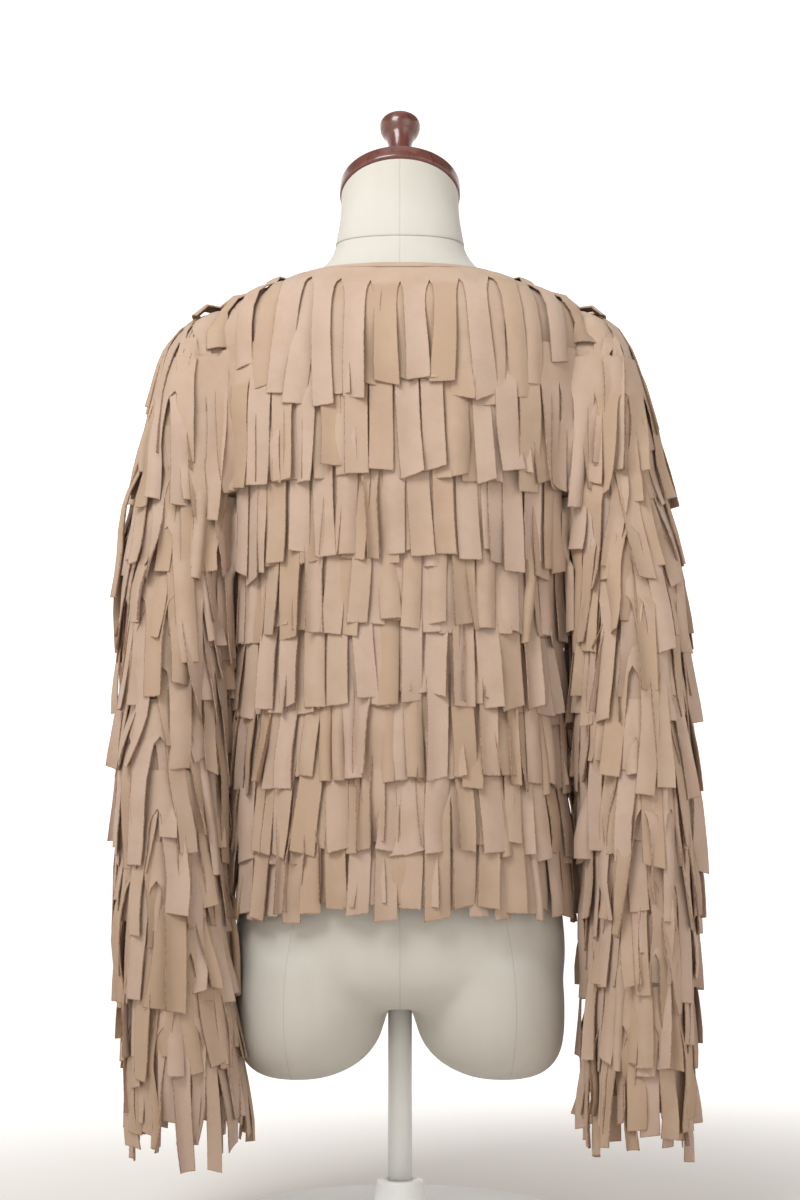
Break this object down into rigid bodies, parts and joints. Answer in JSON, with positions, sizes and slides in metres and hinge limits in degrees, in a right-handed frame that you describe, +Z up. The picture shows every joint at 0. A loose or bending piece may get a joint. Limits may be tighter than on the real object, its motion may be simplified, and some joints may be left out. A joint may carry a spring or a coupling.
{
  "type": "fringed top on limbless dress form",
  "caption": "Long-sleeved pullover top covered in overlapping rows of cut-strip cloth fringe, worn by a padded limbless dress form on a low disc stand",
  "frame": {"origin": "on the floor, under the middle of the stand's disc", "axes": "+Z up; the wearer's front faces -Y and the back +Y; +X is the wearer's left"},
  "size_m": [0.5622, 0.32, 1.0476],
  "materials": {
    "cloth": "matt beige-pink suede-like cloth",
    "form_cloth": "matt cream cotton cover",
    "wood": "dark red-brown varnished turned wood",
    "steel": "pale satin powder coat"
  },
  "bodies": {
    "root": {"dress_form": "form_cloth", "neck_cap": "wood", "neck_knob": "wood", "stand_pole": "steel", "stand_base": "steel", "back_panel": "cloth", "front_panel": "cloth", "neck_binding": "cloth", "sleeve_left": "cloth", "sleeve_right": "cloth", "fringe_body_1": "cloth", "fringe_body_2_back": "cloth", "fringe_body_2_front": "cloth", "fringe_body_3_back": "cloth", "fringe_body_3_front": "cloth", "fringe_body_4": "cloth", "fringe_body_5": "cloth", "fringe_body_6": "cloth", "fringe_body_7": "cloth", "fringe_body_8": "cloth", "fringe_left_1": "cloth", "fringe_left_2": "cloth", "fringe_left_3": "cloth", "fringe_left_4": "cloth", "fringe_left_5": "cloth", "fringe_left_6": "cloth", "fringe_left_7": "cloth", "fringe_left_8": "cloth", "fringe_left_9": "cloth", "fringe_left_10": "cloth", "fringe_left_11": "cloth", "fringe_right_1": "cloth", "fringe_right_2": "cloth", "fringe_right_3": "cloth", "fringe_right_4": "cloth", "fringe_right_5": "cloth", "fringe_right_6": "cloth", "fringe_right_7": "cloth", "fringe_right_8": "cloth", "fringe_right_9": "cloth", "fringe_right_10": "cloth", "fringe_right_11": "cloth"}
  },
  "joints": []
}
